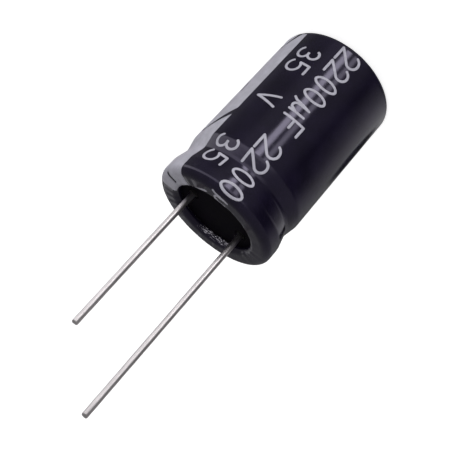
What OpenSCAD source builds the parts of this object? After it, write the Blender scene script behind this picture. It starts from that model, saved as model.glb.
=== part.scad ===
// Radial aluminium electrolytic capacitor, 16 x 25 mm can, in millimetres.
// It stands on its closed end with its leads along +Z; the negative lead is on -X, beside the stripe.

/* [Can] */
// Outer diameter of the bare aluminium can
can_d = 16; // [13:0.1:20]
// Thickness of the can's side wall
can_wall = 0.35; // [0.25:0.01:0.45]
// Thickness of the can's closed end
can_floor = 0.5; // [0.45:0.05:0.8]
// Outer radius of the edge round the closed end
can_corner_r = 0.7; // [0.6:0.05:1.2]
// Depth of the bead rolled round the bung
bead_depth = 1; // [0.7:0.05:1.1]
// Width of the bead along the can
bead_w = 4; // [3.4:0.1:4.4]
// Radius of the rolled bottom of the bead
bead_r = 0.9; // [0.6:0.05:1.2]
// Radius where the bead blends into the can
bead_blend_r = 2; // [1:0.1:2.2]
// Distance from the top of the rim down to the middle of the bead
bead_below_rim = 4.4; // [4:0.1:4.8]
// How far the collar above the bead swells past the can
collar_swell = 0.04; // [0:0.01:0.2]
// Distance from a lead's centre out to the edge of the rolled-in rim
lead_room = 1.75; // [1.7:0.05:2]
// Share of the rim's width that the collar's rounded shoulder takes
shoulder_share = 0.31; // [0.25:0.01:0.45]
// Share of the bung's recess that the roll takes where the rim turns down
curl_share = 0.56; // [0.4:0.01:0.65]
// How deep the rim's edge bites into the bung
rim_bite = 0.25; // [0.1:0.05:0.4]

/* [Vent] */
// Bare metal left between the ends of the scored cross and the sleeve's lip
vent_margin = 1; // [0.5:0.1:2]
// Width of the score
vent_w = 0.4; // [0.2:0.05:0.6]
// Depth of the score
vent_depth = 0.2; // [0.1:0.05:0.3]

/* [Sleeve] */
// Length over the sleeve, from the closed end to the rim
body_l = 26; // [23:0.1:36]
// Thickness of the shrunk plastic sleeve
sleeve_t = 0.15; // [0.08:0.01:0.2]
// Width of the sleeve's lip on the closed end
sleeve_lip = 1.9; // [1.3:0.1:2.6]
// How far the sleeve dips into the bead
sleeve_dip = 0.45; // [0.2:0.05:0.6]
// Radius of the sleeve at the bottom of its dip
sleeve_dip_r = 2; // [1:0.1:2.2]

/* [Polarity stripe] */
// Angle of the can's side that the stripe covers
stripe_angle = 45; // [40:1:60]
// Angle from the negative lead's side round to the middle of the stripe
stripe_turn = 14; // [0:1:30]
// Thickness of the printed ink
ink_t = 0.03; // [0.02:0.01:0.05]
// Distance after which the print on the sleeve repeats
print_repeat = 16; // [12:0.5:20]
// Distance from the top of the rim down to the sides of the last bare chevron
chevron_below_rim = 11; // [10.5:0.1:14]
// How far a chevron's point runs ahead of its sides
chevron_rise = 3.7; // [3:0.1:5]
// Width of a bare chevron at its point, along the can
chevron_gap = 0.5; // [0.3:0.05:0.8]
// Width of a bare chevron at the stripe's sides
chevron_mouth = 1.2; // [0.8:0.05:1.5]
// Length of a bare minus bar
minus_l = 1.6; // [1.2:0.1:2.4]
// Width of a bare minus bar
minus_w = 0.6; // [0.4:0.1:1]
// Distance from the collar's side in to the minus bar on the rim
minus_inset = 0.4; // [0.2:0.05:0.8]
// Bare film left between the stripe's end on the rim and the opening
stripe_margin = 0.2; // [0.1:0.05:0.5]

/* [Bung] */
// Depth of the bung's face below the rim
bung_recess = 1; // [0.8:0.05:1.3]
// Thickness of the bung from its face down
bung_t = 6.2; // [5.8:0.1:6.6]
// Width of the dimple round each weld at the face
dimple_d = 1.8; // [1.7:0.1:2.2]
// Depth of that dimple
dimple_depth = 0.2; // [0.1:0.05:0.3]

/* [Leads] */
// Distance between the two leads
lead_pitch = 7.5; // [6.8:0.1:7.8]
// Diameter of the tinned wire
lead_d = 0.8; // [0.6:0.05:1]
// Length of the negative lead past the rim
lead_short = 19.8; // [15:0.1:30]
// How much longer the positive lead is
lead_extra = 6.7; // [3:0.1:10]
// Length of the cut bevel at a lead's tip
lead_tip = 0.15; // [0.05:0.05:0.3]

/* [Terminals] */
// Diameter of the aluminium shank in the bung
shank_d = 2.2; // [1.8:0.1:2.4]
// Height of the welded cone that narrows from the shank to the wire
weld_h = 1.4; // [0.8:0.05:1.8]
// Width of the weld where the wire starts, at the bung's face
weld_d = 1.1; // [1.05:0.05:1.3]
// How far the round shank stands out under the bung
shank_out = 0.3; // [0.1:0.05:0.5]
// Width of the flattened tab
tab_w = 2.5; // [2:0.1:3]
// Thickness of the flattened tab
tab_t = 0.28; // [0.2:0.01:0.35]

/* [Winding] */
// Diameter of the hole left by the winding mandrel
core_d = 3; // [2.4:0.1:3.4]
// Thickness of the etched anode foil
anode_t = 0.12; // [0.09:0.01:0.15]
// Thickness of the cathode foil
cathode_t = 0.06; // [0.04:0.01:0.08]
// Thickness of each paper separator
paper_t = 0.06; // [0.04:0.01:0.08]
// How far the paper stands past the foils at each end
paper_margin = 0.8; // [0.5:0.1:1.2]
// Free height between the winding and the bung
head_room = 2; // [1.6:0.1:2.6]
// Thickness of the tape that closes the winding
tape_t = 0.06; // [0.04:0.01:0.1]
// Width of that tape
tape_w = 12; // [8:0.5:14]

/* [Clearances] */
// Gap between pieces that grip each other
fit_gap = 0.02; // [0.01:0.005:0.03]
// Gap between the layers of the winding
layer_gap = 0.01; // [0.005:0.005:0.02]
// Gap between the winding and the can
winding_gap = 0.25; // [0.2:0.05:0.4]

/* [Hidden] */
$fn = 128;
arc_steps = 10;

// Places along the axis, from the closed end at z = 0
sleeve_grow = fit_gap + sleeve_t;
can_z = sleeve_grow;
can_top_z = body_l - sleeve_grow;
bead_z = body_l - bead_below_rim;
face_z = body_l - bung_recess;
rim_edge_z = face_z - rim_bite;
bung_z = face_z - bung_t;
shank_top_z = face_z - weld_h;
shank_z = bung_z - shank_out;
floor_z = can_z + can_floor;
winding_z = floor_z + fit_gap;
winding_top_z = bung_z - head_room;
foil_z = winding_z + paper_margin;
foil_w = winding_top_z - winding_z - 2 * paper_margin;

// Radii
can_r = can_d / 2;
sleeve_r = can_r + sleeve_grow;
collar_r = can_r + collar_swell;
lip_r = sleeve_r - can_corner_r - sleeve_lip;
rim_hole_r = lead_pitch / 2 + lead_room;
opening_r = rim_hole_r - sleeve_grow;
shoulder_r = shoulder_share * (collar_r - rim_hole_r);
curl_r = curl_share * bung_recess;
lead_r = lead_d / 2;

// The winding is a spiral of half circles about two centres, one sheet on the other.
// Each sheet crosses +X at right(turn) and -X at left(turn).
core_r = core_d / 2;
tab_slot = tab_t + 4 * layer_gap;
anode_out = anode_t + layer_gap;
cathode_in = anode_out + paper_t + layer_gap;
outer_paper_in = cathode_in + cathode_t + layer_gap;
pitch = outer_paper_in + paper_t + layer_gap;
winding_room = can_r - can_wall - winding_gap - tape_t - layer_gap;
turns = floor((winding_room - core_r - tab_slot) / pitch - 1.5);
anode_turn = 1 + round((lead_pitch / 2 - core_r - pitch - tab_slot / 2) / pitch);
cathode_turn = round((lead_pitch / 2 - core_r - cathode_in - tab_slot / 2) / pitch - 0.5);
function right(turn) = core_r + turn * pitch + (turn >= anode_turn ? tab_slot : 0);
function left(turn, slot_turn) = core_r + (turn + 0.5) * pitch + (turn >= slot_turn ? tab_slot : 0);
winding_r = left(turns, cathode_turn) + pitch;

// A path of straight legs with rounded corners, moved sideways to its left
function unit(v) = v / norm(v);
function left_normal(v) = [-v[1], v[0]];
function turned(v, angle) = [v[0] * cos(angle) - v[1] * sin(angle), v[0] * sin(angle) + v[1] * cos(angle)];
function leg(path, i) = unit(path[i + 1] - path[i]);
function moved_corner(path, i, off) =
    let (a = leg(path, max(i - 1, 0)), b = leg(path, min(i, len(path) - 2)))
    path[i] + off * (left_normal(a) + left_normal(b)) / (1 + a * b);
function fillet(corner, a, b, r) =
    let (side = cross(a, b) > 0 ? 1 : -1, turn = acos(a * b), start = corner - r * tan(turn / 2) * a)
    let (centre = start + side * r * left_normal(a))
    [for (k = [0 : arc_steps]) centre + turned(start - centre, side * turn * k / arc_steps)];
function rounded(path, radii, off = 0) =
    let (moved = [for (i = [0 : len(path) - 1]) moved_corner(path, i, off)])
    [for (i = [0 : len(path) - 1])
        let (inner = i > 0 && i < len(path) - 1)
        let (a = inner ? leg(moved, i - 1) : [1, 0], b = inner ? leg(moved, i) : [1, 0])
        let (r = inner ? radii[i] - sign(cross(a, b)) * off : 0)
        each (r > 0 ? fillet(moved[i], a, b, r) : [moved[i]])];
function reversed(list) = [for (i = [len(list) - 1 : -1 : 0]) list[i]];

// Outer surface of the can, from the centre of its floor to the edge of its rim
can_radii = [0, can_corner_r, bead_blend_r, bead_r, bead_blend_r, shoulder_r, curl_r, 0];
function can_path(base_z) = [
    [0, base_z],
    [can_r, base_z],
    [can_r, bead_z - bead_w / 2],
    [can_r - bead_depth, bead_z],
    [collar_r, bead_z + bead_w / 2],
    [collar_r, can_top_z],
    [rim_hole_r, can_top_z],
    [rim_hole_r, rim_edge_z]];

// Outer surface of the sleeve, from its lip on the closed end to its edge in the rim
sleeve_radii = [0, can_corner_r + sleeve_grow, sleeve_dip_r, sleeve_dip_r, sleeve_dip_r,
    shoulder_r + sleeve_grow, curl_r + sleeve_grow, 0];
sleeve_path = [
    [lip_r, 0],
    [sleeve_r, 0],
    [sleeve_r, bead_z - bead_w / 2],
    [sleeve_r - sleeve_dip, bead_z],
    [collar_r + sleeve_grow, bead_z + bead_w / 2],
    [collar_r + sleeve_grow, body_l],
    [opening_r, body_l],
    [opening_r, face_z + fit_gap]];

module sleeve_shell(inner, outer) {
    polygon(concat(rounded(sleeve_path, sleeve_radii, outer),
        reversed(rounded(sleeve_path, sleeve_radii, inner))));
}

module sleeve() {
    color([0.12, 0.1, 0.16])
        rotate_extrude()
            sleeve_shell(sleeve_t, 0);
}

// Bare chevron that points to the leads and crosses the stripe's sides at z; its arms run on past them
module chevron(z) {
    past = 1.05;
    end_y = past * sleeve_r * sin(stripe_angle / 2);
    upper_rise = chevron_rise + chevron_gap - chevron_mouth;
    for (way = [-1, 1])
        polygon([
            [0, z + chevron_rise],
            [0, z + chevron_rise + chevron_gap],
            [way * end_y, z + chevron_mouth - (past - 1) * upper_rise],
            [way * end_y, z - (past - 1) * chevron_rise]]);
}

// Printed stripe, drawn with its middle on +X and then turned to its place
module polarity_stripe() {
    start_z = can_corner_r + sleeve_grow;
    end_r = opening_r + stripe_margin;
    last_z = body_l - chevron_below_rim;
    color([0.65, 0.64, 0.7])
        rotate([0, 0, 180 - stripe_turn])
            difference() {
                rotate([0, 0, -stripe_angle / 2])
                    rotate_extrude(angle = stripe_angle)
                        intersection() {
                            sleeve_shell(-fit_gap / 2, -fit_gap / 2 - ink_t);
                            translate([end_r, start_z])
                                square([can_d, body_l]);
                        }
                for (z = [last_z : -print_repeat : -chevron_rise])
                    rotate([90, 0, 90])
                        linear_extrude(can_d) {
                            chevron(z);
                            translate([-minus_w / 2, z + chevron_rise - (print_repeat + minus_l) / 2])
                                square([minus_w, minus_l]);
                        }
                translate([collar_r + sleeve_grow - minus_inset - minus_l, -minus_w / 2, face_z])
                    cube([minus_l, minus_w, can_d]);
            }
}

module can() {
    color([0.8, 0.8, 0.82])
        difference() {
            rotate_extrude()
                polygon(concat(rounded(can_path(can_z), can_radii),
                    reversed(rounded(can_path(floor_z - can_wall), can_radii, can_wall))));
            for (angle = [45, 135])
                rotate([0, 0, angle])
                    translate([vent_margin - lip_r, -vent_w / 2, 0])
                        cube([2 * (lip_r - vent_margin), vent_w, can_z + vent_depth]);
        }
}

// Bore for one terminal, drawn from the axis out: it grips the shank and the weld, and ends in a dimple
module terminal_bore() {
    weld_slope = (shank_d - weld_d) / 2 / weld_h;
    rotate_extrude()
        polygon([
            [0, bung_z - bung_t],
            [shank_d / 2 + fit_gap, bung_z - bung_t],
            [shank_d / 2 + fit_gap, shank_top_z],
            [weld_d / 2 + fit_gap + weld_slope * dimple_depth, face_z - dimple_depth],
            [dimple_d / 2, face_z],
            [dimple_d / 2, body_l],
            [0, body_l]]);
}

module bung() {
    grip = can_wall + fit_gap;
    color([0.2, 0.19, 0.2])
        difference() {
            rotate_extrude()
                polygon(concat(rounded(can_path(bung_z - grip), can_radii, grip), [
                    [rim_hole_r + grip, rim_edge_z - fit_gap],
                    [rim_hole_r - fit_gap, rim_edge_z - fit_gap],
                    [rim_hole_r - fit_gap, face_z],
                    [0, face_z]]));
            for (side = [-1, 1])
                translate([side * lead_pitch / 2, 0, 0])
                    terminal_bore();
        }
}

module lead(side, past_rim) {
    tip_z = body_l + past_rim;
    color([0.78, 0.77, 0.78])
        translate([side * lead_pitch / 2, 0, 0])
            rotate_extrude()
                polygon([
                    [0, face_z],
                    [lead_r, face_z],
                    [lead_r, tip_z - lead_tip],
                    [lead_r - lead_tip, tip_z],
                    [0, tip_z]]);
}

module positive_lead() {
    lead(1, lead_short + lead_extra);
}

module negative_lead() {
    lead(-1, lead_short);
}

// Half a turn of a sheet: it crosses +X at a and -X at b, on the side of Y given
module half_turn(a, b, inner, thick, side) {
    translate([(a - b) / 2, 0])
        intersection() {
            difference() {
                circle(r = (a + b) / 2 + inner + thick);
                circle(r = (a + b) / 2 + inner);
            }
            translate([-can_d, side > 0 ? 0 : -can_d])
                square([2 * can_d, can_d]);
        }
}

// One whole turn from +X round to +X, or one of its halves
module sheet_half(h, inner, thick, slot_turn) {
    turn = floor(h / 2);
    odd = h % 2;
    half_turn(right(turn + odd), left(turn, slot_turn), inner, thick, 1 - 2 * odd);
}

module sheet(first, last, inner, thick, slot_turn) {
    for (h = [first : last])
        sheet_half(h, inner, thick, slot_turn);
}

// Flattened tab that lies against the inner face of its foil, as seen from above
module tab_outline(side, turn, foil_in, slot_turn) {
    halves = side > 0 ? [2 * turn - 1, 2 * turn] : [2 * turn, 2 * turn + 1];
    intersection() {
        for (h = halves)
            sheet_half(h, foil_in - layer_gap - tab_t, tab_t, slot_turn);
        translate([side > 0 ? 0 : -can_r, -tab_w / 2])
            square([can_r, tab_w]);
    }
}

// Shank with its weld on top, flattened below the bung into the tab that is stitched to the foil
module terminal(side, turn, foil_in, slot_turn) {
    slice = 0.1;
    color([0.75, 0.75, 0.77]) {
        translate([side * lead_pitch / 2, 0, 0])
            rotate_extrude()
                polygon([
                    [0, shank_z],
                    [shank_d / 2, shank_z],
                    [shank_d / 2, shank_top_z],
                    [weld_d / 2, face_z],
                    [0, face_z]]);
        hull() {
            translate([side * lead_pitch / 2, 0, shank_z])
                cylinder(d = shank_d, h = slice, $fn = 32);
            translate([0, 0, winding_top_z + slice])
                linear_extrude(slice)
                    tab_outline(side, turn, foil_in, slot_turn, $fn = 32);
        }
        translate([0, 0, foil_z])
            linear_extrude(winding_top_z + 2 * slice - foil_z)
                tab_outline(side, turn, foil_in, slot_turn);
    }
}

module positive_terminal() {
    terminal(1, anode_turn, 0, cathode_turn + 1);
}

module negative_terminal() {
    terminal(-1, cathode_turn, cathode_in, cathode_turn);
}

module anode_foil() {
    color([0.6, 0.6, 0.63])
        translate([0, 0, foil_z])
            linear_extrude(foil_w)
                sheet(1, 2 * turns - 2, 0, anode_t, cathode_turn + 1);
}

module cathode_foil() {
    color([0.72, 0.72, 0.72])
        translate([0, 0, foil_z])
            linear_extrude(foil_w)
                sheet(0, 2 * turns - 1, cathode_in, cathode_t, cathode_turn);
}

module separator(inner, slot_turn) {
    color([0.85, 0.8, 0.68])
        translate([0, 0, winding_z])
            linear_extrude(winding_top_z - winding_z)
                sheet(0, 2 * turns, inner, paper_t, slot_turn);
}

module inner_separator() {
    separator(anode_out, cathode_turn + 1);
}

module outer_separator() {
    separator(outer_paper_in, cathode_turn);
}

module closing_tape() {
    color([0.8, 0.7, 0.4])
        translate([0, 0, (winding_z + winding_top_z - tape_w) / 2])
            linear_extrude(tape_w)
                difference() {
                    circle(r = winding_r + tape_t);
                    circle(r = winding_r);
                }
}

sleeve();
polarity_stripe();
can();
bung();
positive_lead();
negative_lead();
positive_terminal();
negative_terminal();
anode_foil();
inner_separator();
cathode_foil();
outer_separator();
closing_tape();
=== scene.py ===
"""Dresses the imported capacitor: printed shrink sleeve, tinned leads, rubber bung and bare aluminium.

It stands on a pale floor in soft studio light. Every length is in metres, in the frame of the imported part."""

import math

import bmesh
import bpy
import numpy as np
from mathutils import Matrix, Vector


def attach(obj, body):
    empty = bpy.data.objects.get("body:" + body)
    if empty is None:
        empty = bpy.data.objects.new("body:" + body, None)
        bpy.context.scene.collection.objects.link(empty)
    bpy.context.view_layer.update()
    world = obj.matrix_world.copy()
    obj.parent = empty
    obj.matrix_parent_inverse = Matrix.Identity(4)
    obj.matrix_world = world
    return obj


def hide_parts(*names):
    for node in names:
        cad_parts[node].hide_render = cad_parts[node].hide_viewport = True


bl_info = {
    "name": "Radial capacitor dressing",
    "version": (1, 0, 0),
    "blender": (4, 5, 0),
    "location": "3D Viewport > Sidebar > Capacitor",
    "description": "Printed sleeve, leads, bung and metal finishes for the packed capacitor",
    "category": "Object",
}

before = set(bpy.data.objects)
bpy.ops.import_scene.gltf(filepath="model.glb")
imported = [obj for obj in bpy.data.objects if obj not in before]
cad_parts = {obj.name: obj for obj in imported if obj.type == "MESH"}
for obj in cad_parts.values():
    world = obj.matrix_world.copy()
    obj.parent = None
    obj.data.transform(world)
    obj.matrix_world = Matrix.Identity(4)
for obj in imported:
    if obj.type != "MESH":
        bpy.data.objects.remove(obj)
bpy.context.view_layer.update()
MM = 0.001


# Settings


def length(name, description, default):
    """A length property whose default is given in millimetres."""
    return bpy.props.FloatProperty(
        name=name, description=description, default=default * MM, min=0.0,
        unit="LENGTH", subtype="DISTANCE", precision=5,
    )


def colour(name, description, default):
    """A colour property in linear light."""
    return bpy.props.FloatVectorProperty(
        name=name, description=description, default=default, size=3, min=0.0, max=1.0,
        subtype="COLOR",
    )


def share(name, description, default):
    """A plain number between 0 and 1."""
    return bpy.props.FloatProperty(
        name=name, description=description, default=default, min=0.0, max=1.0, subtype="FACTOR",
    )


def angle(name, description, degrees):
    """An angle property whose default is given in degrees."""
    return bpy.props.FloatProperty(
        name=name, description=description, default=math.radians(degrees),
        unit="ROTATION", subtype="ANGLE",
    )


class SleeveSettings(bpy.types.PropertyGroup):
    """Sizes and finish of the shrunk film."""

    body_r: length("Body radius", "Radius of the film on the straight side", 8.17)
    collar_r: length("Collar radius", "Radius of the film on the collar above the neck", 8.21)
    opening_r: length("Opening radius", "Radius of the hole that the film leaves in the rim", 5.33)
    lip_r: length("Lip radius", "Inner radius of the film's lip on the closed end", 5.57)
    body_l: length("Length", "Length over the film", 26.0)
    edge_z: length("Edge height", "Height at which the film ends in the opening", 25.02)
    corner_r: length("Closed corner", "Radius of the film round the closed end", 0.87)
    neck_z: length("Neck height", "Height of the middle of the neck", 21.6)
    neck_depth: length("Neck depth", "How far the film dips into the bead", 0.45)
    neck_half: length("Neck half width", "Half of the neck's width", 2.0)
    neck_r: length("Neck radius", "Blend radius in and beside the neck", 2.0)
    shoulder_r: length("Shoulder radius", "Radius of the film over the collar's shoulder", 0.957)
    curl_r: length("Curl radius", "Radius of the film where it turns into the opening", 0.73)
    wall: length("Film thickness", "Thickness of the shrunk film", 0.15)
    ripple: length("Ripple", "Height of the film's slow waves", 0.008)
    pleat: length("Pleats", "Height of the small pleats round the rim", 0.02)
    film: colour("Film", "Colour of the film", (0.0066, 0.0050, 0.0135))
    # Colour of the painted glints: pale flecks that stand in for light caught by the film's ragged edge in the
    # opening.
    glinting: colour("Glinting film", "Colour of the cracks in the film's edge", (0.75, 0.72, 0.8))
    gloss: share("Film roughness", "Roughness of the film", 0.1)
    # Direction round the axis of the painted glints on the opening's edge.
    glint_turn: angle("Glint angle", "Angle from +X to the middle of the whitened part of the edge", 288.0)


class PrintSettings(bpy.types.PropertyGroup):
    """Sizes and colour of the pale print."""

    ink: colour("Ink", "Colour of the print", (0.42, 0.41, 0.475))
    lift: length("Ink height", "How far the print stands on the film", 0.025)
    sunk: length("Ink root", "How far a printed shape reaches into the film", 0.02)
    repeat: length("Repeat", "Distance after which the print repeats", 16.0)
    stripe_half: angle("Stripe half angle", "Half of the angle that the stripe covers", 22.5)
    stripe_turn: angle("Stripe turn", "Angle from the negative lead's side to the stripe's middle", 14.0)
    stripe_start: length("Stripe start", "Height at which the stripe starts", 0.87)
    stripe_margin: length("Stripe margin", "Bare film between the stripe and the opening", 0.2)
    chevron_z: length("Chevron height", "Height of the last bare chevron's sides", 15.0)
    chevron_rise: length("Chevron rise", "How far a chevron's point runs ahead of its sides", 3.7)
    chevron_gap: length("Chevron gap", "Width of a bare chevron at its point", 0.5)
    chevron_mouth: length("Chevron mouth", "Width of a bare chevron at the stripe's sides", 1.2)
    minus_l: length("Minus length", "Length of a bare minus bar", 1.6)
    minus_w: length("Minus width", "Width of a bare minus bar", 0.6)
    minus_inset: length("Minus inset", "Distance from the collar's side in to the bar on the rim", 0.4)
    pen: length("Pen", "Width of a lettering stroke", 0.34)
    first_line: angle("First baseline", "Angle of the first line's baseline from +X", 104.0)
    second_line: angle("Second baseline", "Angle of the second line's baseline from +X", 135.2)
    letter_h: length("Letter height", "Height of the lettering between stroke middles", 2.86)


class LeadSettings(bpy.types.PropertyGroup):
    """Sizes and colour of the tinned wires."""

    pitch: length("Pitch", "Distance between the two leads", 7.5)
    wire_r: length("Wire radius", "Radius of the wire", 0.4)
    root_z: length("Root height", "Height at which the wires leave the bung", 25.0)
    short_z: length("Short tip", "Height of the negative lead's tip", 45.8)
    long_z: length("Long tip", "Height of the positive lead's tip", 52.5)
    bevel: length("Cut bevel", "Length of the bevel on a cut tip", 0.15)
    wave: length("Drawn waves", "Height of the waves that drawing leaves along the wire", 0.004)
    tin: colour("Tin", "Colour of the tinned wire", (0.88, 0.83, 0.845))
    roughness: share("Wire roughness", "Roughness of the tinned wire", 0.3)


class InsideSettings(bpy.types.PropertyGroup):
    """Colours of the can, the bung and the winding."""

    aluminium: colour("Aluminium", "Colour of the bare can", (0.78, 0.78, 0.79))
    rubber: colour("Rubber", "Colour of the bung", (0.0022, 0.0013, 0.0034))
    etched: colour("Etched foil", "Colour of the etched anode foil", (0.36, 0.36, 0.38))
    bright: colour("Plain foil", "Colour of the cathode foil", (0.6, 0.6, 0.61))
    paper: colour("Paper", "Colour of the soaked separator paper", (0.62, 0.54, 0.38))
    tape: colour("Tape", "Colour of the closing tape", (0.62, 0.43, 0.15))


class StageSettings(bpy.types.PropertyGroup):
    """Floor, light and camera."""

    floor: colour("Floor", "Colour of the floor", (0.9, 0.9, 0.9))
    floor_half: length("Floor half size", "Half of the floor's width", 900.0)
    sweep_r: length("Sweep radius", "Radius of the bend between the floor and its back", 300.0)
    key_power: bpy.props.FloatProperty(
        name="Key light", description="Power of the large light in front", default=2.3,
        min=0.0, unit="POWER",
    )
    focal: bpy.props.FloatProperty(
        name="Focal length", description="Focal length on a 36 mm wide sensor", default=62.45,
        min=1.0, unit="CAMERA",
    )


# Surfaces


def unit(vectors):
    """Vectors divided by their length."""
    return vectors / np.linalg.norm(vectors, axis=-1, keepdims=True)


def rounded_path(corners, radii, arc_points=25):
    """Straight legs joined by arcs: at each inner corner a circle of its radius touches both legs."""
    corners = np.asarray(corners, float)
    parts = [corners[:1]]
    for before, corner, after, radius in zip(corners, corners[1:], corners[2:], radii):
        a, b = unit(corner - before), unit(after - corner)
        turn = math.acos(max(-1.0, min(1.0, float(a @ b))))
        side = math.copysign(1.0, a[0] * b[1] - a[1] * b[0])
        start = corner - radius * math.tan(turn / 2) * a
        centre = start + side * radius * np.array([-a[1], a[0]])
        swing = side * turn * np.linspace(0, 1, arc_points)
        x, y = start - centre
        arc = [x * np.cos(swing) - y * np.sin(swing), x * np.sin(swing) + y * np.cos(swing)]
        parts.append(centre + np.stack(arc, axis=1))
    parts.append(corners[-1:])
    return np.concatenate(parts)


class Film:
    """The outside of the shrunk film as a surface.

    A point on it comes from a length along its outline, an angle round it and a lift. The outline is a
    path in a half plane through the axis. Its length is counted from where a straight side would meet
    z = 0, so that on the body the length equals the height. The point is the outline's point at that
    length, plus the lift and the ripples along the outline's normal, turned by the angle."""

    def __init__(self, s):
        self.s = s
        corners = [
            (s.lip_r, 0), (s.body_r, 0), (s.body_r, s.neck_z - s.neck_half),
            (s.body_r - s.neck_depth, s.neck_z), (s.collar_r, s.neck_z + s.neck_half),
            (s.collar_r, s.body_l), (s.opening_r, s.body_l), (s.opening_r, s.edge_z),
        ]
        radii = [s.corner_r, s.neck_r, s.neck_r, s.neck_r, s.shoulder_r, s.curl_r]
        self.outline = rounded_path(corners, radii)
        steps = np.linalg.norm(np.diff(self.outline, axis=0), axis=1)
        keep = np.concatenate([[True], steps > 1e-9])
        self.outline = self.outline[keep]
        steps = np.linalg.norm(np.diff(self.outline, axis=0), axis=1)
        length = np.concatenate([[0], np.cumsum(steps)])
        straight = np.argmax(self.outline[:, 1] >= s.corner_r - 1e-9)
        self.length = length - length[straight] + self.outline[straight, 1]
        tangent = unit(np.gradient(self.outline, self.length, axis=0))
        self.normal = np.stack([tangent[:, 1], -tangent[:, 0]], axis=1)
        self.first, self.last = self.length[0], self.length[-1]

    def over_rim(self, radius):
        """Length at which the outline, past the collar, comes in to a radius."""
        rim = self.outline[:, 1] > self.s.neck_z + self.s.neck_half
        order = np.argsort(self.outline[rim, 0], kind="stable")
        return float(np.interp(radius, self.outline[rim, 0][order], self.length[rim][order]))

    def relief(self, along, turn):
        """Slow waves along and round the body, and pleats that grow towards the rim and the lip."""
        s = self.s
        long_wave, short_wave, twist = 2.9 * MM, 1.7 * MM, 5.0 * MM
        slow = (
            np.sin(along / long_wave + 2.0 * np.sin(2 * turn))
            + np.sin(along / short_wave - 3.0 * turn) * 0.5
            + np.sin(5.0 * turn + along / twist) * 0.8
        )
        rim = np.clip((along - s.body_l + 0.6 * MM) / (2.4 * MM), 0, 1)
        lip = np.clip((0.4 * MM - along) / (1.2 * MM), 0, 1)
        fold = np.sin(23 * turn + 1.7 * np.sin(5 * turn)) * np.sin(7 * turn + 0.6)
        return s.ripple * (slow / 2.3 - 1) * (1 - lip) + s.pleat * (fold - 1) * (rim + lip)

    def point(self, along, turn, lift=0.0):
        """Place of (along, turn) at a lift above the film."""
        along, turn = np.broadcast_arrays(np.asarray(along, float), np.asarray(turn, float))
        read = lambda values: np.interp(along, self.length, values)
        out = lift + self.relief(along, turn)
        radius = read(self.outline[:, 0]) + out * read(self.normal[:, 0])
        height = read(self.outline[:, 1]) + out * read(self.normal[:, 1])
        return np.stack([radius * np.cos(turn), radius * np.sin(turn), height], axis=-1)


def grid_faces(rows, columns, closed_rows=False, closed_columns=False):
    """Quads of a grid of rows x columns points, wrapped where closed."""
    r = np.arange(rows if closed_rows else rows - 1)[:, None]
    c = np.arange(columns if closed_columns else columns - 1)[None, :]
    r1, c1 = (r + 1) % rows, (c + 1) % columns
    quad = [r * columns + c, r * columns + c1, r1 * columns + c1, r1 * columns + c]
    return np.stack([q + np.zeros_like(r + c) for q in quad], axis=-1).reshape(-1, 4)


def slab(top, under):
    """A closed plate between two grids of points of one shape: both grids and the four rims between them."""
    rows, columns = top.shape[:2]
    count = rows * columns
    face = grid_faces(rows, columns)
    index = np.arange(count).reshape(rows, columns)
    rims = []
    for edge, flip in ((index[0], True), (index[-1], False), (index[:, 0], False), (index[:, -1], True)):
        a, b = edge[:-1], edge[1:]
        rim = np.stack([a, b, b + count, a + count], axis=-1)
        rims.append(rim[:, ::-1] if flip else rim)
    points = np.concatenate([top.reshape(-1, 3), under.reshape(-1, 3)])
    return points, np.concatenate([face, face[:, ::-1] + count, *rims])


def joined(parts):
    """Several (points, faces) pairs as one."""
    starts = np.cumsum([0] + [len(points) for points, _ in parts[:-1]])
    points = np.concatenate([points for points, _ in parts])
    return points, np.concatenate([faces + start for start, (_, faces) in zip(starts, parts)])


def piece(name, points, faces, material, slot, *stands_for):
    """A smooth mesh piece that rides on the root body, with its doubles merged and its faces outwards."""
    mesh = bpy.data.meshes.new(name)
    mesh.from_pydata(points.tolist(), [], faces.tolist())
    work = bmesh.new()
    work.from_mesh(mesh)
    bmesh.ops.remove_doubles(work, verts=work.verts, dist=2e-8)
    bmesh.ops.dissolve_degenerate(work, edges=work.edges, dist=1e-8)
    bmesh.ops.recalc_face_normals(work, faces=work.faces)
    work.to_mesh(mesh)
    work.free()
    mesh.polygons.foreach_set("use_smooth", np.ones(len(mesh.polygons), bool))
    mesh.materials.append(material)
    made = bpy.data.objects.new(name, mesh)
    bpy.context.scene.collection.objects.link(made)
    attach(made, "root")
    if stands_for:
        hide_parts(*stands_for)
    return made


# Shading


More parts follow.
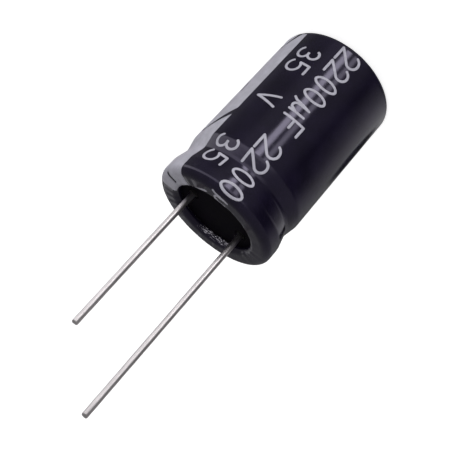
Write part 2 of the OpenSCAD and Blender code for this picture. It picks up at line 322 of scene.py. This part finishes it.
class Shade:
    """Wraps a socket of a node tree, so that an expression on it adds its Math nodes."""

    def __init__(self, tree, socket=None):
        self.tree, self.socket = tree, socket

    def node(self, kind, settings=None, inputs=None, out=0):
        """Adds a node of a type with its settings, fills its sockets by name or index, and wraps one output."""
        made = self.tree.nodes.new(kind)
        for name, value in (settings or {}).items():
            setattr(made, name, value)
        for name, value in (inputs or {}).items():
            socket = made.inputs[name]
            if isinstance(value, Shade):
                self.tree.links.new(value.socket, socket)
            else:
                socket.default_value = value
        return Shade(self.tree, made.outputs[out])

    def math(self, operation, *values):
        """One Math node over the given values."""
        return self.node("ShaderNodeMath", {"operation": operation}, dict(enumerate(values)))

    def __add__(self, other):
        return self.math("ADD", self, other)

    def __radd__(self, other):
        return self.math("ADD", other, self)

    def __sub__(self, other):
        return self.math("SUBTRACT", self, other)

    def __rsub__(self, other):
        return self.math("SUBTRACT", other, self)

    def __mul__(self, other):
        return self.math("MULTIPLY", self, other)

    def __rmul__(self, other):
        return self.math("MULTIPLY", other, self)

    def __truediv__(self, other):
        return self.math("DIVIDE", self, other)

    def __rtruediv__(self, other):
        return self.math("DIVIDE", other, self)

    def smooth(self, low, high):
        """0 below low, 1 above high and a smooth rise between; low may be the larger."""
        settings = {"interpolation_type": "SMOOTHSTEP"}
        inputs = {"Value": self, "From Min": low, "From Max": high, "To Min": 0.0, "To Max": 1.0}
        return self.node("ShaderNodeMapRange", settings, inputs)

    def mix(self, a, b):
        """Colour that goes from a to b with this socket as the factor."""
        tone = lambda c: c if isinstance(c, Shade) else (*c, 1.0)
        inputs = {0: self, 6: tone(a), 7: tone(b)}
        return self.node("ShaderNodeMix", {"data_type": "RGBA"}, inputs, out=2)

    def noise(self, place, size, detail=2.0, roughness=0.5, stretch=(1, 1, 1)):
        """Noise whose features are about size metres across, pulled by stretch along X, Y and Z."""
        pull = {"Vector": place, "Scale": tuple(1 / (size * k) for k in stretch)}
        moved = self.node("ShaderNodeMapping", {"vector_type": "POINT"}, pull)
        inputs = {"Vector": moved, "Scale": 1.0, "Detail": detail, "Roughness": roughness}
        return self.node("ShaderNodeTexNoise", {}, inputs)

    def split(self, place):
        """The X, Y and Z parts of a place or direction."""
        first = self.node("ShaderNodeSeparateXYZ", inputs={0: place})
        return [Shade(self.tree, output) for output in first.socket.node.outputs]

    def bump(self, height, distance, strength=1.0):
        """Normal bent by a height between 0 and 1 that stands for distance metres."""
        inputs = {"Strength": strength, "Distance": distance, "Height": height}
        return self.node("ShaderNodeBump", {}, inputs)


def toned(tone, factor):
    """A colour times a factor, with no channel above 1."""
    return [min(1.0, channel * factor) for channel in tone]


def material(name, paint):
    """A material whose shader's sockets are filled, by name, with what paint(shade, place) returns."""
    made = bpy.data.materials.new(name)
    made.use_nodes = True
    tree = made.node_tree
    shader = tree.nodes["Principled BSDF"]
    shade = Shade(tree)
    place = shade.node("ShaderNodeTexCoord", out=3)
    for socket, value in paint(shade, place).items():
        if isinstance(value, Shade):
            tree.links.new(value.socket, shader.inputs[socket])
        else:
            shader.inputs[socket].default_value = value
    return made


def film_material(s):
    """Glossy shrink film: faint cloudy tone, fine orange peel, draw lines along the can and light rubs.

    Round one part of the opening's edge, pale streaky flecks in the colour are painted glints, standing in for
    light caught by the film's ragged edge."""

    def paint(shade, place):
        cloud = shade.noise(place, 3.0 * MM, 3.0)
        lines = shade.noise(place, 0.12 * MM, 2.0, stretch=(1, 1, 60))
        peel = shade.noise(place, 0.35 * MM, 2.0)
        rubs = shade.noise(place, 0.8 * MM, 4.0, 0.7).smooth(0.56, 0.74)
        tone = cloud.smooth(0.3, 0.7).mix(toned(s.film, 0.8), toned(s.film, 1.25))
        # Painted glints: round one part of the opening's edge, streaky noise mixes the base colour towards a
        # pale tone, standing in for light caught by the ragged film.
        x, y, _ = shade.split(place)
        towards = x * math.cos(s.glint_turn) + y * math.sin(s.glint_turn)
        across = shade.math("SQRT", x * x + y * y)
        glint_end, glint_reach = s.opening_r * 0.9, s.opening_r + 0.3 * MM
        glint_zone = towards.smooth(glint_end, s.opening_r * 0.95)
        glint_zone = glint_zone * across.smooth(glint_reach, s.opening_r + 0.12 * MM)
        glints = shade.noise(place, 0.15 * MM, 3.0, 0.7, stretch=(5, 1.5, 0.8))
        glints = glints.smooth(0.53, 0.6) * glint_zone
        return {
            # Base colour with the painted glints mixed in.
            "Base Color": (glints * 0.85).mix(tone, s.glinting),
            "Roughness": s.gloss + rubs * 0.1 + cloud * 0.04,
            "Normal": shade.bump(peel + lines * 0.35, 0.004 * MM, 0.5),
            "IOR": 1.55,
            "Specular Tint": (0.82, 0.76, 1.0, 1.0),
        }

    return material("shrink_film", paint)


def ink_material(p):
    """Matt screen-printed ink: uneven coat, tiny pinholes and a dull sheen."""

    def paint(shade, place):
        coat = shade.noise(place, 0.9 * MM, 3.0, 0.6)
        grain = shade.noise(place, 0.07 * MM, 2.0)
        thin = grain.smooth(0.36, 0.28) * 0.5
        tone = coat.smooth(0.25, 0.75).mix(toned(p.ink, 0.88), toned(p.ink, 1.08))
        return {
            "Base Color": thin.mix(tone, toned(p.ink, 0.3)),
            "Roughness": 0.38 + coat * 0.14,
            "Specular IOR Level": 0.3,
            "Normal": shade.bump(grain, 0.004 * MM, 0.6),
            "IOR": 1.5,
        }

    return material("print_ink", paint)


def tinned_material(s):
    """Tinned copper-clad wire: drawn streaks along the wire, duller patches and small dark nicks."""

    def paint(shade, place):
        streak = shade.noise(place, 0.06 * MM, 3.0, 0.6, stretch=(1, 1, 45))
        patch = shade.noise(place, 0.7 * MM, 3.0, 0.6, stretch=(1, 1, 3))
        nick = shade.noise(place, 0.16 * MM, 2.0, stretch=(1, 1, 2)).smooth(0.7, 0.78)
        tone = (streak * 0.6 + patch * 0.4).smooth(0.3, 0.7)
        tone = tone.mix(toned(s.tin, 0.72), toned(s.tin, 1.14))
        return {
            "Base Color": (nick * 0.6).mix(tone, toned(s.tin, 0.3)),
            "Metallic": 1.0,
            "Roughness": s.roughness - 0.06 + patch * 0.16,
            "Normal": shade.bump(streak + patch * 0.5, 0.006 * MM, 0.7),
        }

    return material("tinned_wire", paint)


def aluminium_material(name, tone, grain, roughness, darkened_above=None):
    """Drawn aluminium: fine grain, faint rolling marks and uneven polish; above a given height, nearly black
    and duller.
    """

    def paint(shade, place):
        marks = shade.noise(place, grain, 3.0, 0.6, stretch=(14, 1, 1))
        cloud = shade.noise(place, 1.6 * MM, 3.0)
        mixed = (marks * 0.6 + cloud * 0.4).smooth(0.3, 0.7)
        base = mixed.mix(toned(tone, 0.82), toned(tone, 1.08))
        rough = roughness + cloud * 0.12
        if darkened_above:
            # Above the given height the colour falls to nearly black and the roughness rises.
            _, _, z = shade.split(place)
            dark_top = z.smooth(darkened_above - 0.3 * MM, darkened_above)
            base = dark_top.mix(base, toned(tone, 0.05))
            rough = rough + dark_top * 0.3
        return {
            "Base Color": base,
            "Metallic": 1.0,
            "Roughness": rough,
            "Normal": shade.bump(marks, 0.003 * MM, 0.6),
        }

    return material(name, paint)


def rubber_material(s):
    """Moulded rubber: dull, slightly grainy, with a few shinier rubs."""

    def paint(shade, place):
        grain = shade.noise(place, 0.12 * MM, 3.0, 0.6)
        cloud = shade.noise(place, 1.4 * MM, 3.0)
        tone = cloud.smooth(0.3, 0.7).mix(toned(s.rubber, 0.75), toned(s.rubber, 1.5))
        return {
            "Base Color": tone,
            "Roughness": 0.6 + cloud * 0.2,
            "Normal": shade.bump(grain + cloud, 0.02 * MM, 0.8),
            "Specular IOR Level": 0.05,
        }

    return material("bung_rubber", paint)


def foil_material(name, tone, pit):
    """Capacitor foil: dull metal whose etched pits break up the light."""

    def paint(shade, place):
        pits = shade.noise(place, pit, 4.0, 0.7)
        bands = shade.noise(place, 0.5 * MM, 2.0, stretch=(1, 1, 12))
        return {
            "Base Color": (pits * 0.7 + bands * 0.3).smooth(0.3, 0.7).mix(
                toned(tone, 0.75), toned(tone, 1.2)
            ),
            "Metallic": 1.0,
            "Roughness": 0.42 + pits * 0.22,
            "Normal": shade.bump(pits, 0.004 * MM, 0.8),
        }

    return material(name, paint)


def paper_material(s):
    """Soaked kraft paper: short fibres lying mostly round the winding."""

    def paint(shade, place):
        fibre = shade.noise(place, 0.05 * MM, 3.0, 0.7, stretch=(6, 6, 1))
        stain = shade.noise(place, 1.5 * MM, 3.0)
        tone = (fibre * 0.6 + stain * 0.4).smooth(0.3, 0.7)
        return {
            "Base Color": tone.mix(toned(s.paper, 0.7), toned(s.paper, 1.15)),
            "Roughness": 0.55 + stain * 0.25,
            "Normal": shade.bump(fibre, 0.01 * MM, 0.8),
        }

    return material("separator_paper", paint)


def tape_material(s):
    """Closing tape: amber film with fine lines across its length."""

    def paint(shade, place):
        lines = shade.noise(place, 0.08 * MM, 2.0, stretch=(20, 20, 1))
        cloud = shade.noise(place, 2.0 * MM, 2.0)
        return {
            "Base Color": cloud.smooth(0.3, 0.7).mix(toned(s.tape, 0.8), toned(s.tape, 1.1)),
            "Roughness": 0.2 + lines * 0.14,
            "Normal": shade.bump(lines, 0.002 * MM, 0.6),
        }

    return material("closing_tape", paint)


def dress(node, finish):
    """Gives a CAD node a finish in every slot."""
    mesh_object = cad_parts[node]
    if not mesh_object.material_slots:
        mesh_object.data.materials.append(finish)
    for held in mesh_object.material_slots:
        held.material = finish


# Lettering


def bend(centre, radii, start, end, count=24):
    """Points on an ellipse from one angle to another, in degrees."""
    swing = np.radians(np.linspace(start, end, count))
    return np.stack([centre[0] + radii[0] * np.cos(swing), centre[1] + radii[1] * np.sin(swing)], axis=1)


def line(*points):
    """A path through points."""
    return np.array(points, float)


def letter(sign):
    """Pen strokes of one sign in a box 1 wide and 1 high, with its foot at 0."""
    if sign == "0":
        return [bend((0.5, 0.5), (0.42, 0.5), 0, 360, 49)]
    if sign == "2":
        hook = np.concatenate([bend((0.5, 0.72), (0.46, 0.28), 165, -28), line((0.0, 0.0))])
        return [hook, line((0.0, 0.0), (0.98, 0.0))]
    if sign == "3":
        return [bend((0.46, 0.75), (0.42, 0.25), 150, -90), bend((0.46, 0.26), (0.48, 0.26), 90, -150)]
    if sign == "5":
        bowl = bend((0.46, 0.31), (0.5, 0.31), 128, -150)
        return [line((0.9, 1.0), (0.18, 1.0)), line((0.18, 1.0), (0.1, 0.53)), bowl]
    if sign == "F":
        return [line((0.1, 0.0), (0.1, 1.0)), line((0.1, 1.0), (1.0, 1.0)), line((0.1, 0.52), (0.82, 0.52))]
    if sign == "V":
        return [line((0.02, 1.0), (0.5, 0.0)), line((0.5, 0.0), (0.98, 1.0))]
    if sign == "µ":
        cup = np.concatenate([line((0.3, 0.72)), bend((0.56, 0.2), (0.26, 0.2), 180, 300), line((0.9, 0.3))])
        return [line((0.0, -0.12), (0.12, 0.0), (0.3, 0.72)), cup, line((0.9, 0.72), (0.9, 0.0))]
    raise ValueError(f"no strokes for {sign!r}")


def spaced(path, step):
    """The path read at even steps, with its length."""
    run = np.concatenate([[0], np.cumsum(np.linalg.norm(np.diff(path, axis=0), axis=1))])
    at = np.linspace(0, run[-1], max(2, int(run[-1] / step) + 2))
    return np.stack([np.interp(at, run, path[:, k]) for k in (0, 1)], axis=1), run[-1]


def stroke(film, p, path, corners=16):
    """A low round-ended bar along a pen path on the film.

    The path holds (length along the film, angle) with both as lengths in metres on the body. Round the
    bar, a flattened ring goes sideways by the pen's half width times cosine and up by the ink's height
    times sine, and the half width falls as a circle over each end."""
    half = p.pen / 2
    path, run = spaced(path, 0.09 * MM)
    ahead = unit(np.gradient(path, axis=0))
    cap = np.linspace(0, math.pi / 2, 6)
    start = path[0] - ahead[0] * half * np.cos(cap[:-1])[:, None]
    end = path[-1] + ahead[-1] * half * np.sin(cap[1:])[:, None]
    middle = np.concatenate([start, path, end])
    width = np.concatenate([half * np.sin(cap[:-1]), np.full(len(path), half), half * np.cos(cap[1:])])
    ahead = np.concatenate([np.repeat(ahead[:1], 5, 0), ahead, np.repeat(ahead[-1:], 5, 0)])
    side = np.stack([-ahead[:, 1], ahead[:, 0]], axis=1)
    ring = np.linspace(0, 2 * math.pi, corners, endpoint=False)
    across, up = np.cos(ring), np.sin(ring)
    flat = np.sign(up) * np.abs(up) ** 0.35
    lift = np.where(flat > 0, flat * p.lift, flat * p.sunk)
    place = middle[:, None, :] + (width[:, None] * across[None, :])[..., None] * side[:, None, :]
    along = np.clip(place[..., 0], film.first, film.last)
    points = film.point(along, place[..., 1] / film.s.body_r, lift[None, :])
    rows = len(middle)
    return points.reshape(-1, 3), grid_faces(rows, corners, closed_columns=True)


def lettering(film, p):
    """All the strokes of the rating, repeated along the film and cut where the film ends.

    Each sign stands with its foot at a length along the film and has a width, both in millimetres."""
    first = [
        ("2", 0.95, 2.0), ("2", 3.35, 1.85), ("0", 5.95, 1.6), ("0", 8.2, 1.6),
        ("µ", 10.45, 1.9), ("F", 12.95, 1.7),
    ]
    second = [("3", 3.25, 1.75), ("5", 5.6, 1.85), ("V", 11.55, 1.7)]
    bars = []
    for repeat in (-1, 0, 1):
        for baseline, row in ((p.first_line, first), (p.second_line, second)):
            for sign, start, width in row:
                for path in letter(sign):
                    along = start * MM + path[:, 0] * width * MM + repeat * p.repeat
                    turn = baseline * film.s.body_r - path[:, 1] * p.letter_h
                    spot = np.stack([along, turn], axis=1)
                    spot, _ = spaced(spot, 0.09 * MM)
                    room = (spot[:, 0] > film.first + 0.3 * MM) & (spot[:, 0] < film.last - 0.5 * MM)
                    kept = np.flatnonzero(room)
                    if len(kept) > 3:
                        bars.append(stroke(film, p, spot[kept[0] : kept[-1] + 1]))
    return joined(bars)


# Operators


def film_of(context):
    """The film's surface from the current settings."""
    return Film(context.scene.capacitor_sleeve)


class CAPACITOR_OT_sleeve(bpy.types.Operator):
    """Make the shrunk film as one closed shell of revolution, with ripples, pleats and a ragged edge"""

    bl_idname = "capacitor.sleeve"
    bl_label = "Sleeve"

    def execute(self, context):
        s = context.scene.capacitor_sleeve
        film = film_of(context)
        edge = np.array([0.0, 0.02, 0.05]) * MM
        inside = np.linspace(film.first, film.last, 220)[1:-1]
        outer = np.concatenate([film.first + edge, inside, (film.last - edge)[::-1]])
        inner = np.concatenate([(film.last - edge), inside[::-4], (film.first + edge)[::-1]])
        turn = np.linspace(0, 2 * math.pi, 240, endpoint=False)
        along = np.concatenate([outer, inner])[:, None]
        lift = np.concatenate([np.zeros(len(outer)), np.full(len(inner), -s.wall)])[:, None]
        torn = 0.8 * MM
        near_edge = np.clip((along - film.last + torn) / torn, 0, 1)
        ragged = 0.07 * MM * (1 + np.sin(19 * turn + np.sin(4 * turn))) * near_edge
        points = film.point(along - ragged, turn[None, :], lift)
        faces = grid_faces(len(along), len(turn), True, True)
        piece("sleeve_film", points.reshape(-1, 3), faces, film_material(s), "sleeve_film", "sleeve")
        return {"FINISHED"}


class CAPACITOR_OT_stripe(bpy.types.Operator):
    """Make the polarity stripe as thin plates on the film, with bare chevrons and minus bars between them"""

    bl_idname = "capacitor.stripe"
    bl_label = "Polarity stripe"

    def execute(self, context):
        p = context.scene.capacitor_print
        film = film_of(context)
        side = math.sin(p.stripe_half)
        start, end = p.stripe_start, film.over_rim(film.s.opening_r + p.stripe_margin)
        bar = math.asin(p.minus_w / 2 / film.s.body_r)
        bar_z = p.chevron_z + p.chevron_rise - p.repeat / 2
        bar_out = film.s.collar_r - p.minus_inset

        def low(turn, z):
            """Lower edge of the chevron whose sides are at z: it falls in step with the sine of the angle."""
            return z + p.chevron_rise * (1 - np.abs(np.sin(turn)) / side)

        def high(turn, z):
            """Upper edge of that chevron."""
            rise = p.chevron_rise + p.chevron_gap - p.chevron_mouth
            return z + p.chevron_mouth + rise * (1 - np.abs(np.sin(turn)) / side)

        def plate(first, last, below, above):
            """Plate between two angles from the stripe's middle and two curves, both lengths by angle."""
            count = max(3, int((last - first) / math.radians(1.0)) + 2)
            turn = np.linspace(first, last, count)
            bottom = np.maximum(below(turn), start)
            top = np.minimum(above(turn), end)
            rows = max(3, int(np.max(top - bottom) / (0.14 * MM)) + 2)
            along = bottom + np.linspace(0, 1, rows)[:, None] * (top - bottom)
            swing = (math.pi - p.stripe_turn + turn)[None, :]
            return slab(film.point(along, swing, p.lift), film.point(along, swing, -p.sunk))

        z, half, before = p.chevron_z, p.stripe_half, p.chevron_z - p.repeat
        tail = math.asin(side * (1 - (start - before) / p.chevron_rise))
        fixed = lambda value: (lambda turn: np.full_like(turn, value))
        plates = []
        for way in (-1, 1):
            span = lambda a, b: (a, b) if way > 0 else (-b, -a)
            plates.append(plate(*span(bar, half), lambda t: high(t, z), fixed(end)))
            plates.append(plate(*span(0, bar), lambda t: high(t, z), fixed(film.over_rim(bar_out))))
            plates.append(plate(*span(0, bar), fixed(film.over_rim(bar_out - p.minus_l)), fixed(end)))
            plates.append(plate(*span(bar, half), lambda t: high(t, before), lambda t: low(t, z)))
            plates.append(plate(*span(0, bar), lambda t: high(t, before), fixed(bar_z - p.minus_l / 2)))
            plates.append(plate(*span(0, bar), fixed(bar_z + p.minus_l / 2), lambda t: low(t, z)))
            plates.append(plate(*span(0, tail), fixed(start), lambda t: low(t, before)))
        points, faces = joined(plates)
        piece("stripe_print", points, faces, ink_material(p), "stripe_ink", "polarity_stripe")
        return {"FINISHED"}


class CAPACITOR_OT_rating(bpy.types.Operator):
    """Print a plain rating on the film in low round-ended strokes"""

    bl_idname = "capacitor.rating"
    bl_label = "Rating"

    def execute(self, context):
        p = context.scene.capacitor_print
        points, faces = lettering(film_of(context), p)
        ink = bpy.data.materials.get("print_ink") or ink_material(p)
        piece("rating_print", points, faces, ink, "stripe_ink")
        return {"FINISHED"}


class CAPACITOR_OT_leads(bpy.types.Operator):
    """Make the two tinned wires, with drawn waves along them and bevelled cut tips"""

    bl_idname = "capacitor.leads"
    bl_label = "Leads"

    def execute(self, context):
        s = context.scene.capacitor_leads
        tin = tinned_material(s)
        turn = np.linspace(0, 2 * math.pi, 32, endpoint=False)
        for name, way, tip in (("negative_lead", -1, s.short_z), ("positive_lead", 1, s.long_z)):
            height = np.linspace(s.root_z, tip - s.bevel, 120)
            drawn = np.sin(height / (1.3 * MM)) + np.sin(height / (0.47 * MM) + way)
            radius = s.wire_r + s.wave * (drawn - 2)
            ring_z = np.concatenate([[s.root_z], height, [tip - s.bevel * 0.3, tip, tip, tip]])
            ring_r = np.concatenate([[0.0], radius, s.wire_r - s.bevel * np.array([0.55, 1.0, 1.25]), [0.0]])
            shear = np.where(ring_z > tip - s.bevel, 0.04 * MM, 0)[:, None] * (np.cos(2 * turn + way) - 1)
            x = way * s.pitch / 2 + ring_r[:, None] * np.cos(turn)
            y = ring_r[:, None] * np.sin(turn)
            z = ring_z[:, None] + shear * (ring_r > 0)[:, None]
            faces = grid_faces(len(ring_z), len(turn), closed_columns=True)
            points = np.stack([x, y, z], axis=-1).reshape(-1, 3)
            piece(f"{name}_wire", points, faces, tin, "tinned_wire", name)
        return {"FINISHED"}


class CAPACITOR_OT_body(bpy.types.Operator):
    """Give the can, the bung and the two terminals their finishes"""

    bl_idname = "capacitor.body"
    bl_label = "Can, bung and terminals"

    def execute(self, context):
        s = context.scene.capacitor_inside
        dress("can", aluminium_material("can_aluminium", s.aluminium, 0.05 * MM, 0.22))
        dress("bung", rubber_material(s))
        weld_z = 24.8 * MM
        drawn = aluminium_material("terminal_aluminium", s.aluminium, 0.08 * MM, 0.3, weld_z)
        dress("positive_terminal", drawn)
        dress("negative_terminal", drawn)
        return {"FINISHED"}


class CAPACITOR_OT_winding(bpy.types.Operator):
    """Give the foils, the paper and the tape of the winding their finishes"""

    bl_idname = "capacitor.winding"
    bl_label = "Winding"

    def execute(self, context):
        s = context.scene.capacitor_inside
        dress("anode_foil", foil_material("anode_foil", s.etched, 0.03 * MM))
        dress("cathode_foil", foil_material("cathode_foil", s.bright, 0.05 * MM))
        paper = paper_material(s)
        dress("inner_separator", paper)
        dress("outer_separator", paper)
        dress("closing_tape", tape_material(s))
        return {"FINISHED"}


class CAPACITOR_OT_stage(bpy.types.Operator):
    """Set up the pale floor with its swept back, the soft light and the camera"""

    bl_idname = "capacitor.stage"
    bl_label = "Stage"

    def execute(self, context):
        s = context.scene.capacitor_stage
        self.floor(context, s)
        self.sky(context)
        self.key_light(context, s)
        self.camera(context, s)
        context.scene.view_settings.view_transform = "Standard"
        return {"FINISHED"}

    def floor(self, context, s):
        """A profile in Y and Z, flat, then a quarter circle, then upright, carried along X."""
        bow = np.linspace(0, math.pi / 2, 24)
        y = np.concatenate([[s.floor_half], -s.floor_half + s.sweep_r * (1 - np.sin(bow)), [-s.floor_half]])
        z = np.concatenate([[0.0], s.sweep_r * (1 - np.cos(bow)), [s.floor_half]])
        x = np.linspace(-1, 1, 9) * s.floor_half * 1.6
        points = np.stack([x[None, :] + 0 * y[:, None], y[:, None] + 0 * x, z[:, None] + 0 * x], axis=-1)
        mesh = bpy.data.meshes.new("floor")
        mesh.from_pydata(points.reshape(-1, 3).tolist(), [], grid_faces(len(y), len(x))[:, ::-1].tolist())
        mesh.polygons.foreach_set("use_smooth", np.ones(len(mesh.polygons), bool))
        mesh.materials.append(material("pale_floor", lambda shade, place: {
            "Base Color": shade.noise(place, 30 * MM).mix(toned(s.floor, 0.99), s.floor),
            "Roughness": 0.9,
            "Specular IOR Level": 0.0,
            "Emission Color": (1.0, 1.0, 1.0, 1.0),
            "Emission Strength": 0.75,
        }))
        made = bpy.data.objects.new("floor", mesh)
        context.scene.collection.objects.link(made)
        made.visible_glossy = False

    def sky(self, context):
        """Soft boxes as a function of direction, on an even grey.

        Below the horizon there are two bright strips, wide dim and dark panels, a glow low down and one
        dark spot. A panel just under the horizon lights the wires, and one over it marks the rim."""
        world = bpy.data.worlds.new("studio")
        context.scene.world = world
        world.use_nodes = True
        tree = world.node_tree
        shade = Shade(tree)
        x, y, z = shade.split(shade.node("ShaderNodeTexCoord"))
        across = shade.math("SQRT", x * x + y * y + 1e-6)

        def off(degrees):
            """Angle in degrees between the ray's heading and a heading."""
            a = math.radians(degrees)
            cosine = (x * math.cos(a) + y * math.sin(a)) / across
            return shade.math("ARCCOSINE", cosine.math("MINIMUM", cosine, 0.99999)) * math.degrees(1)

        def panel(heading, half, soft):
            """1 within half of a heading, falling to 0 over soft."""
            return off(heading).smooth(half + soft, half)

        def band(low, high, soft):
            """1 where the ray's upward part is between low and high, falling to 0 over soft."""
            return z.smooth(low - soft, low) * z.smooth(high + soft, high)

        below = z.smooth(-0.2, -0.36)
        strips = panel(90, 2.0, 4.5) * 2.2 + panel(106.5, 3.0, 4.5) * 5.0
        wide = panel(-30, 6.0, 28.0) * 0.09 - panel(-80, 8.0, 20.0) * 0.07 - panel(27, 8.0, 36.0) * 0.2
        wide = wide + panel(120, 8.0, 22.0) * 0.12 - panel(165, 10.0, 20.0) * 0.05
        glow = panel(-25, 30.0, 40.0) * z.smooth(-0.44, -0.6) * z.smooth(-0.65, -0.58) * 0.36
        sideways, upwards = off(-55) / 14.0, (z + 0.516) / 0.037
        spot = (sideways * sideways + upwards * upwards).smooth(1.2, 0.8)
        level = (
            0.2
            + strips * z.smooth(-0.28, -0.36) * z.smooth(-0.67, -0.6)
            + (wide + glow) * below
            + panel(140, 45.0, 40.0) * band(-0.33, -0.05, 0.04) * 1.1
            + panel(-110, 17.0, 3.0) * band(0.2, 0.352, 0.014) * 0.3
        ) * (1.0 - spot * 0.95)
        back = tree.nodes["Background"]
        tree.links.new(level.socket, back.inputs["Strength"])
        back.inputs["Color"].default_value = (1.0, 1.0, 1.0, 1.0)

    def key_light(self, context, s):
        """One large square light in front, which leaves no mirror image on the film or the wires."""
        lamp = bpy.data.lights.new("key_light", "AREA")
        lamp.shape, lamp.size, lamp.energy = "SQUARE", 0.6, s.key_power
        made = bpy.data.objects.new("key_light", lamp)
        place = Vector((-0.19, 0.62, 0.22))
        made.matrix_world = Matrix.Translation(place) @ place.to_track_quat("Z", "Y").to_matrix().to_4x4()
        made.visible_glossy = False
        made.visible_camera = False
        context.scene.collection.objects.link(made)

    def camera(self, context, s):
        """The photograph's viewpoint: its right, up and backward directions and its place."""
        right = (0.74643, 0.25532, -0.61454)
        up = (-0.66518, 0.259, -0.70033)
        back = (-0.01964, 0.93152, 0.36316)
        lens = bpy.data.cameras.new("camera")
        lens.sensor_width, lens.lens = 36.0, s.focal
        lens.clip_start, lens.clip_end = 0.001, 10.0
        made = bpy.data.objects.new("camera", lens)
        turn = Matrix((right, up, back)).transposed().to_4x4()
        made.matrix_world = Matrix.Translation((0.000117, 0.087589, 0.059474)) @ turn
        context.scene.collection.objects.link(made)
        context.scene.camera = made


class CAPACITOR_PT_panel(bpy.types.Panel):
    """Lists the pieces and their sizes and colours"""

    bl_idname = "CAPACITOR_PT_panel"
    bl_label = "Capacitor"
    bl_space_type = "VIEW_3D"
    bl_region_type = "UI"
    bl_category = "Capacitor"

    def draw(self, context):
        for name, group, operators in PARTS:
            box = self.layout.box()
            box.label(text=name)
            held = getattr(context.scene, group)
            for prop in held.bl_rna.properties:
                if prop.identifier not in ("rna_type", "name"):
                    box.prop(held, prop.identifier)
            for operator in operators:
                box.operator(operator.bl_idname)


PARTS = [
    ("Sleeve", "capacitor_sleeve", [CAPACITOR_OT_sleeve]),
    ("Print", "capacitor_print", [CAPACITOR_OT_stripe, CAPACITOR_OT_rating]),
    ("Leads", "capacitor_leads", [CAPACITOR_OT_leads]),
    ("Can, bung and winding", "capacitor_inside", [CAPACITOR_OT_body, CAPACITOR_OT_winding]),
    ("Stage", "capacitor_stage", [CAPACITOR_OT_stage]),
]
GROUPS = {
    "capacitor_sleeve": SleeveSettings,
    "capacitor_print": PrintSettings,
    "capacitor_leads": LeadSettings,
    "capacitor_inside": InsideSettings,
    "capacitor_stage": StageSettings,
}
CLASSES = [*GROUPS.values(), *(kind for part in PARTS for kind in part[2]), CAPACITOR_PT_panel]


def register():
    """Makes the settings, the operators and the panel known."""
    for kind in CLASSES:
        bpy.utils.register_class(kind)
    for name, group in GROUPS.items():
        setattr(bpy.types.Scene, name, bpy.props.PointerProperty(type=group))


def unregister():
    """Takes them away again."""
    for name in GROUPS:
        delattr(bpy.types.Scene, name)
    for kind in reversed(CLASSES):
        bpy.utils.unregister_class(kind)


def main():
    """Dresses the part."""
    register()
    bpy.ops.capacitor.sleeve()
    bpy.ops.capacitor.stripe()
    bpy.ops.capacitor.rating()
    bpy.ops.capacitor.leads()
    bpy.ops.capacitor.body()
    bpy.ops.capacitor.winding()
    bpy.ops.capacitor.stage()
    bpy.context.view_layer.update()


if __name__ == "__main__":
    main()
